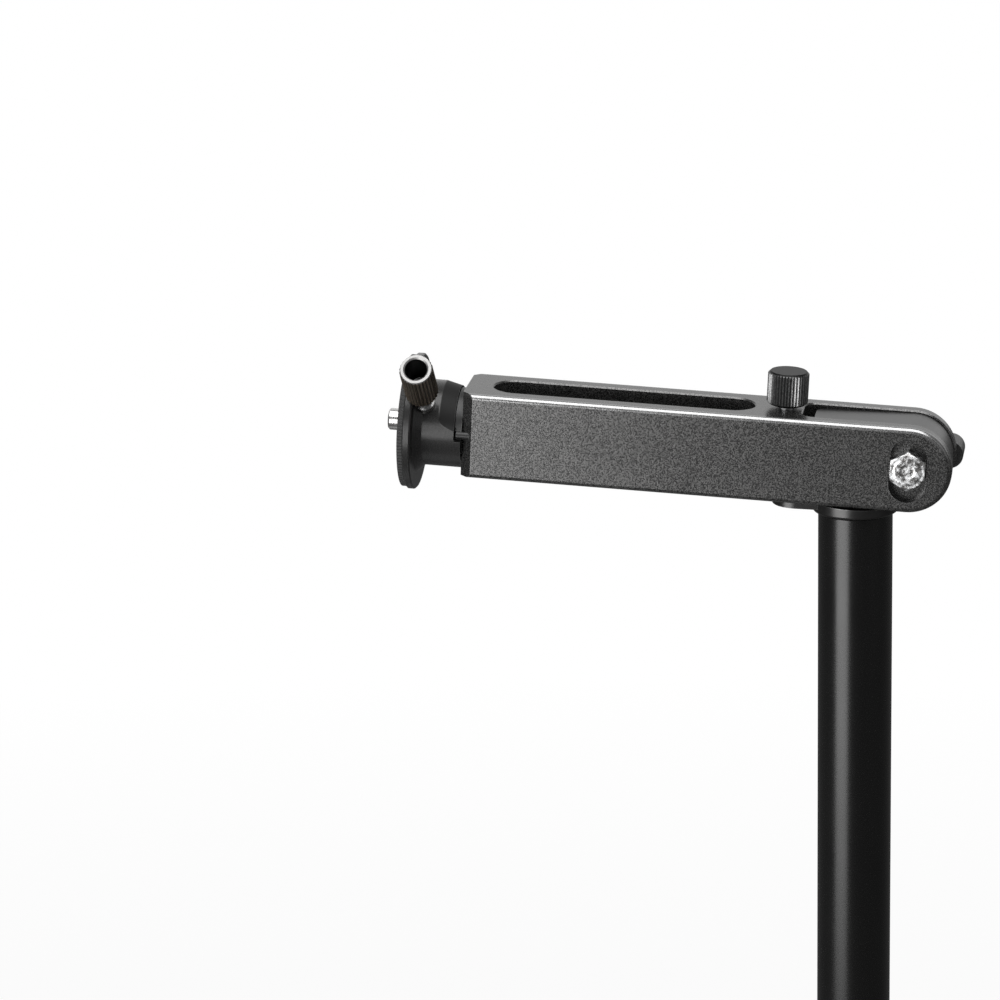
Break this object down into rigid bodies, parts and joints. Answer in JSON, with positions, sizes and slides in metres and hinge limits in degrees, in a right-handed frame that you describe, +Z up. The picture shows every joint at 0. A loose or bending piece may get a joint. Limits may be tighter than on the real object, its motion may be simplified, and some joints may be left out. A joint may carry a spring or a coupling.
{
  "type": "copy stand",
  "caption": "Copy stand: a telescopic column on a base board carries a tilting arm with a levelling screw and a rotating, lockable camera head.",
  "frame": {"origin": "on the table, under the middle of the base board", "axes": "+Z up along the column; the arm reaches from the column towards -X over the board; the user and the bolt head are on the -Y side"},
  "size_m": [0.36, 0.3, 0.6357],
  "materials": {
    "board": "grey laminated board, satin",
    "rubber": "soft black rubber",
    "zinc": "bright zinc plate",
    "black_steel": "black oxide",
    "black_cast": "black enamel, satin",
    "black_tube": "black anodised, satin gloss",
    "charcoal": "charcoal powder coat on a milled alloy bar, fine grain, bright worn edges",
    "charcoal_plate": "charcoal anodised, satin",
    "black_plastic": "moulded, satin black",
    "nylon": "natural nylon",
    "bright": "turned and nickel plated",
    "dark_knob": "blackened, bright on the worn edges",
    "brass": "plain turned",
    "head": "charcoal anodised, satin gloss",
    "cork": "thin ribbed rubber sheet"
  },
  "bodies": {
    "stand": {"base_board": "board", "rubber_feet": "rubber", "foot_screws": "zinc", "column_socket": "black_cast", "socket_bolts": "black_steel", "socket_grub_screws": "black_steel", "lower_tube": "black_tube", "clamp_collar": "black_cast", "collar_screw": "zinc", "collar_washer": "zinc"},
    "collar_wing": {"collar_knob": "black_plastic", "collar_knob_insert": "brass"},
    "guide": {"collar_bush": "nylon"},
    "column": {"column_tube": "black_tube", "column_guide_plug": "nylon", "column_top_plug": "charcoal_plate", "bracket_stud": "zinc", "tilt_bracket": "charcoal_plate"},
    "arm": {"arm_bar": "charcoal", "pivot_bolt": "zinc", "friction_washers": "nylon", "pivot_washer": "zinc", "head_screw": "black_steel", "saddle_washer": "zinc", "stop_disc": "black_steel", "stop_pin": "bright", "head_spindle": "bright"},
    "pivot_wing": {"pivot_knob": "black_plastic", "pivot_knob_insert": "brass"},
    "level_slider": {"level_pad": "nylon"},
    "level_turner": {"level_screw": "zinc", "level_knob": "dark_knob"},
    "head": {"head_hub": "head", "camera_pad": "cork", "camera_screw": "bright"},
    "thumb": {"thumb_knob": "dark_knob", "thumb_screw": "zinc", "thumb_collar": "bright", "brake_tip": "nylon"}
  },
  "joints": [
    {"name": "collar_knob_turn", "type": "hinge", "parent": "stand", "child": "collar_wing", "pos_m": [0.12, -0.0313, 0.364], "axis": [-1, 0, 0], "continuous": true},
    {"name": "column_pan", "type": "hinge", "parent": "stand", "child": "guide", "pos_m": [0.14, 0, 0.352], "axis": [0, 0, 1], "continuous": true},
    {"name": "column_lift", "type": "slide", "parent": "guide", "child": "column", "axis": [0, 0, 1], "range_m": [-0.13, 0.15]},
    {"name": "arm_tilt", "type": "hinge", "parent": "column", "child": "arm", "pos_m": [0.15575, 0, 0.60121], "axis": [0, 1, 0], "range_deg": [-1.3, 1.2]},
    {"name": "pivot_knob_turn", "type": "hinge", "parent": "arm", "child": "pivot_wing", "pos_m": [0.15575, 0.018, 0.60121], "axis": [0, 1, 0], "continuous": true},
    {"name": "level_travel", "type": "slide", "parent": "arm", "child": "level_slider", "axis": [-0.0558, 0, -0.9984], "range_m": [-0.00086, 0.0008]},
    {"name": "level_spin", "type": "hinge", "parent": "level_slider", "child": "level_turner", "pos_m": [0.11951, 0, 0.60324], "axis": [-0.0558, 0, -0.9984], "range_deg": [-385, 355]},
    {"name": "head_roll", "type": "hinge", "parent": "arm", "child": "head", "pos_m": [0.01597, 0, 0.60903], "axis": [0.9984, 0, -0.0558], "range_deg": [0, 170]},
    {"name": "thumb_turn", "type": "hinge", "parent": "head", "child": "thumb", "pos_m": [0.01687, -0.01554, 0.62158], "axis": [0.0351, -0.7771, 0.6283], "continuous": true}
  ],
  "couplings": [
    {"joint": "level_travel", "follows": "arm_tilt", "m_per_rad": 0.0368},
    {"joint": "level_spin", "follows": "arm_tilt", "ratio": 289.03}
  ]
}
